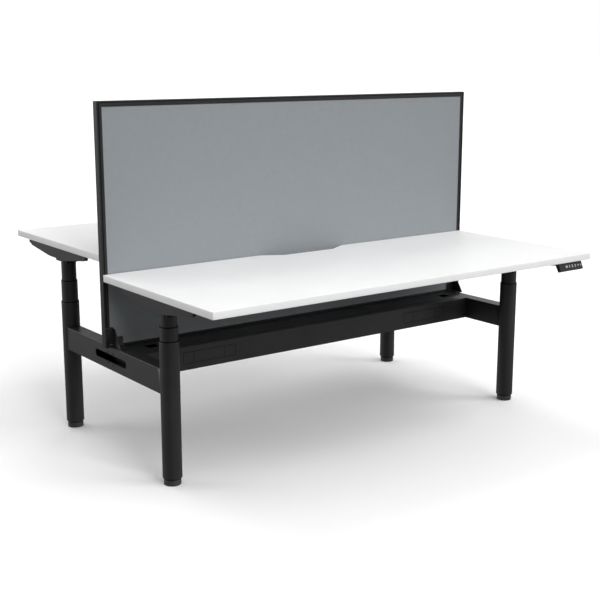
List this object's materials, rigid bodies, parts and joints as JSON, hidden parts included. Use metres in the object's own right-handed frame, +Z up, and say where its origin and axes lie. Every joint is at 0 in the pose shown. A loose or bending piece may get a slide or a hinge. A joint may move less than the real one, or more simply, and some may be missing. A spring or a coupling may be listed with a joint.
{
  "type": "benching desk",
  "caption": "Back-to-back sit-stand benching desk: white tops on telescopic lifting columns, shared end frames, a lidded cable duct and a framed grey fabric dividing screen.",
  "frame": {"origin": "on the floor, under the middle of the two worktops", "axes": "+X along the bench to the right as seen from the front desk, +Y from the front desk to the rear desk, +Z up"},
  "size_m": [1.8, 1.5442, 1.319],
  "materials": {
    "black_paint": "fine-textured matt black powder coat",
    "white_laminate": "smooth matt white laminate on board, square edged",
    "grey_fabric": "flat woven mid-grey screen cloth",
    "bright_steel": "zinc-plated, lightly oiled",
    "motor_black": "satin black",
    "black_plastic": "fine-grained moulded black",
    "key_plastic": "smooth matt dark grey"
  },
  "bodies": {
    "base": {"outer_tube_front_left": "black_paint", "base_screw_front_left": "bright_steel", "outer_tube_front_right": "black_paint", "base_screw_front_right": "bright_steel", "outer_tube_rear_left": "black_paint", "base_screw_rear_left": "bright_steel", "outer_tube_rear_right": "black_paint", "base_screw_rear_right": "bright_steel", "end_beam_left": "black_paint", "screen_post_left": "black_paint", "screen_bracket_left": "black_paint", "end_beam_right": "black_paint", "screen_post_right": "black_paint", "screen_bracket_right": "black_paint", "cable_duct": "black_paint", "duct_lid_front": "black_paint", "duct_lid_rear": "black_paint", "screen_top_rail": "black_paint", "screen_bottom_rail": "black_paint", "screen_panel": "grey_fabric"},
    "front_desk": {"worktop_front": "white_laminate", "crossbar_front": "black_paint", "control_box_front": "black_plastic", "handset_front": "black_plastic", "inner_tube_front_left": "black_paint", "drive_unit_front_left": "motor_black", "side_arm_front_left": "black_paint", "inner_tube_front_right": "black_paint", "drive_unit_front_right": "motor_black", "side_arm_front_right": "black_paint"},
    "middle_stage_front_left": {"mid_tube_front_left": "black_paint"},
    "foot_front_left": {"foot_front_left": "black_plastic"},
    "middle_stage_front_right": {"mid_tube_front_right": "black_paint"},
    "foot_front_right": {"foot_front_right": "black_plastic"},
    "key_memory_front": {"key_memory_front": "key_plastic"},
    "key_one_front": {"key_one_front": "key_plastic"},
    "key_two_front": {"key_two_front": "key_plastic"},
    "key_three_front": {"key_three_front": "key_plastic"},
    "key_down_front": {"key_down_front": "key_plastic"},
    "key_up_front": {"key_up_front": "key_plastic"},
    "rear_desk": {"worktop_rear": "white_laminate", "crossbar_rear": "black_paint", "control_box_rear": "black_plastic", "handset_rear": "black_plastic", "inner_tube_rear_left": "black_paint", "drive_unit_rear_left": "motor_black", "side_arm_rear_left": "black_paint", "inner_tube_rear_right": "black_paint", "drive_unit_rear_right": "motor_black", "side_arm_rear_right": "black_paint"},
    "middle_stage_rear_left": {"mid_tube_rear_left": "black_paint"},
    "foot_rear_left": {"foot_rear_left": "black_plastic"},
    "middle_stage_rear_right": {"mid_tube_rear_right": "black_paint"},
    "foot_rear_right": {"foot_rear_right": "black_plastic"},
    "key_memory_rear": {"key_memory_rear": "key_plastic"},
    "key_one_rear": {"key_one_rear": "key_plastic"},
    "key_two_rear": {"key_two_rear": "key_plastic"},
    "key_three_rear": {"key_three_rear": "key_plastic"},
    "key_down_rear": {"key_down_rear": "key_plastic"},
    "key_up_rear": {"key_up_rear": "key_plastic"}
  },
  "joints": [
    {"name": "front_lift", "type": "slide", "parent": "base", "child": "front_desk", "axis": [0, 0, 1], "range_m": [-0.0677, 0.5823]},
    {"name": "middle_stage_slide_front_left", "type": "slide", "parent": "base", "child": "middle_stage_front_left", "axis": [0, 0, 1], "range_m": [-0.03385, 0.29115]},
    {"name": "middle_stage_slide_front_right", "type": "slide", "parent": "base", "child": "middle_stage_front_right", "axis": [0, 0, 1], "range_m": [-0.03385, 0.29115]},
    {"name": "press_memory_front", "type": "slide", "parent": "front_desk", "child": "key_memory_front", "axis": [0, 0.9176, -0.3976], "range_m": [0, 0.0012], "stiffness_N_per_m": 500, "springref_m": -0.001},
    {"name": "press_one_front", "type": "slide", "parent": "front_desk", "child": "key_one_front", "axis": [0, 0.9176, -0.3976], "range_m": [0, 0.0012], "stiffness_N_per_m": 500, "springref_m": -0.001},
    {"name": "press_two_front", "type": "slide", "parent": "front_desk", "child": "key_two_front", "axis": [0, 0.9176, -0.3976], "range_m": [0, 0.0012], "stiffness_N_per_m": 500, "springref_m": -0.001},
    {"name": "press_three_front", "type": "slide", "parent": "front_desk", "child": "key_three_front", "axis": [0, 0.9176, -0.3976], "range_m": [0, 0.0012], "stiffness_N_per_m": 500, "springref_m": -0.001},
    {"name": "press_down_front", "type": "slide", "parent": "front_desk", "child": "key_down_front", "axis": [0, 0.9176, -0.3976], "range_m": [0, 0.0012], "stiffness_N_per_m": 500, "springref_m": -0.001},
    {"name": "press_up_front", "type": "slide", "parent": "front_desk", "child": "key_up_front", "axis": [0, 0.9176, -0.3976], "range_m": [0, 0.0012], "stiffness_N_per_m": 500, "springref_m": -0.001},
    {"name": "rear_lift", "type": "slide", "parent": "base", "child": "rear_desk", "axis": [0, 0, 1], "range_m": [-0.1377, 0.5123]},
    {"name": "middle_stage_slide_rear_left", "type": "slide", "parent": "base", "child": "middle_stage_rear_left", "axis": [0, 0, 1], "range_m": [-0.06885, 0.25615]},
    {"name": "middle_stage_slide_rear_right", "type": "slide", "parent": "base", "child": "middle_stage_rear_right", "axis": [0, 0, 1], "range_m": [-0.06885, 0.25615]},
    {"name": "press_memory_rear", "type": "slide", "parent": "rear_desk", "child": "key_memory_rear", "axis": [0, -0.9176, -0.3976], "range_m": [0, 0.0012], "stiffness_N_per_m": 500, "springref_m": -0.001},
    {"name": "press_one_rear", "type": "slide", "parent": "rear_desk", "child": "key_one_rear", "axis": [0, -0.9176, -0.3976], "range_m": [0, 0.0012], "stiffness_N_per_m": 500, "springref_m": -0.001},
    {"name": "press_two_rear", "type": "slide", "parent": "rear_desk", "child": "key_two_rear", "axis": [0, -0.9176, -0.3976], "range_m": [0, 0.0012], "stiffness_N_per_m": 500, "springref_m": -0.001},
    {"name": "press_three_rear", "type": "slide", "parent": "rear_desk", "child": "key_three_rear", "axis": [0, -0.9176, -0.3976], "range_m": [0, 0.0012], "stiffness_N_per_m": 500, "springref_m": -0.001},
    {"name": "press_down_rear", "type": "slide", "parent": "rear_desk", "child": "key_down_rear", "axis": [0, -0.9176, -0.3976], "range_m": [0, 0.0012], "stiffness_N_per_m": 500, "springref_m": -0.001},
    {"name": "press_up_rear", "type": "slide", "parent": "rear_desk", "child": "key_up_rear", "axis": [0, -0.9176, -0.3976], "range_m": [0, 0.0012], "stiffness_N_per_m": 500, "springref_m": -0.001},
    {"name": "foot_turn_front_left", "type": "hinge", "parent": "base", "child": "foot_front_left", "pos_m": [-0.847, -0.393, 0], "axis": [0, 0, 1], "continuous": true},
    {"name": "foot_turn_front_right", "type": "hinge", "parent": "base", "child": "foot_front_right", "pos_m": [0.827, -0.393, 0], "axis": [0, 0, 1], "continuous": true},
    {"name": "foot_turn_rear_left", "type": "hinge", "parent": "base", "child": "foot_rear_left", "pos_m": [-0.847, 0.393, 0], "axis": [0, 0, 1], "continuous": true},
    {"name": "foot_turn_rear_right", "type": "hinge", "parent": "base", "child": "foot_rear_right", "pos_m": [0.827, 0.393, 0], "axis": [0, 0, 1], "continuous": true}
  ],
  "couplings": [
    {"joint": "middle_stage_slide_front_left", "follows": "front_lift", "ratio": 0.5},
    {"joint": "middle_stage_slide_front_right", "follows": "front_lift", "ratio": 0.5},
    {"joint": "middle_stage_slide_rear_left", "follows": "rear_lift", "ratio": 0.5},
    {"joint": "middle_stage_slide_rear_right", "follows": "rear_lift", "ratio": 0.5}
  ]
}
